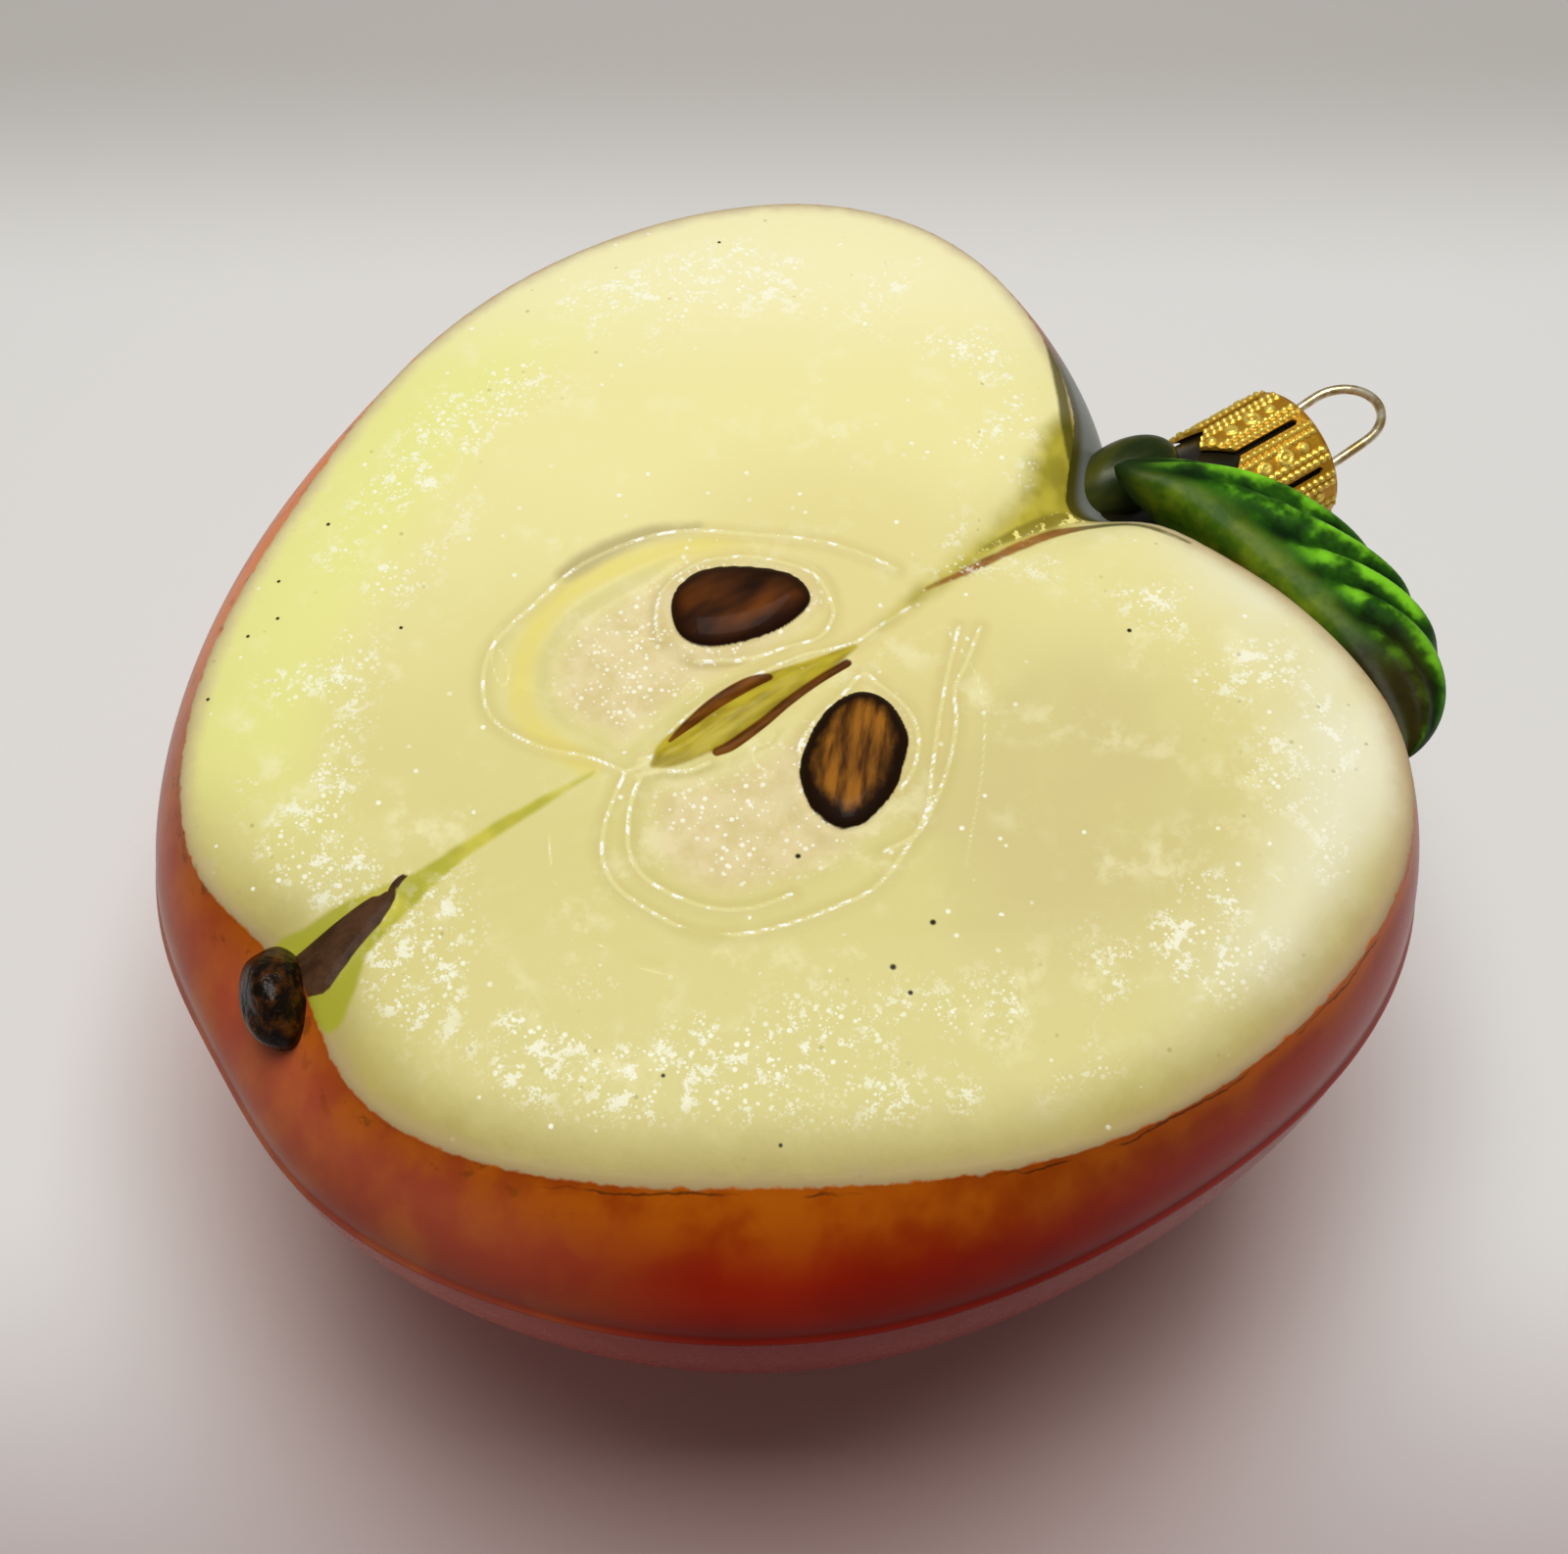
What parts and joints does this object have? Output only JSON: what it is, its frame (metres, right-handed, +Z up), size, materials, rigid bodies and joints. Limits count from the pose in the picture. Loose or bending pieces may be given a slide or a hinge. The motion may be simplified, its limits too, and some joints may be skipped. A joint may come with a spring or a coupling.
{
  "type": "glass apple half ornament",
  "caption": "Hanging glass ornament shaped like half an apple, cut face up, with moulded seeds, calyx and leaf, a gold cap and a wire loop.",
  "frame": {"origin": "centre of the small flat spot under the belly, on the surface it rests on", "axes": "+X along the apple's core from the calyx to the stem, cap and wire loop; +Y towards the lobe without the leaf; +Z up, out of the cut face"},
  "size_m": [0.1033, 0.0896, 0.0555],
  "materials": {
    "painted_glass": "opaque painted blown glass, glossy cream face with glitter, satin orange-red skin, green leaf",
    "gold_cap": "thin embossed gold-coloured metal",
    "wire": "bare springy wire, slightly warm"
  },
  "bodies": {
    "root": {"glass_body": "painted_glass", "cap": "gold_cap", "hanger_wire": "wire"}
  },
  "joints": []
}
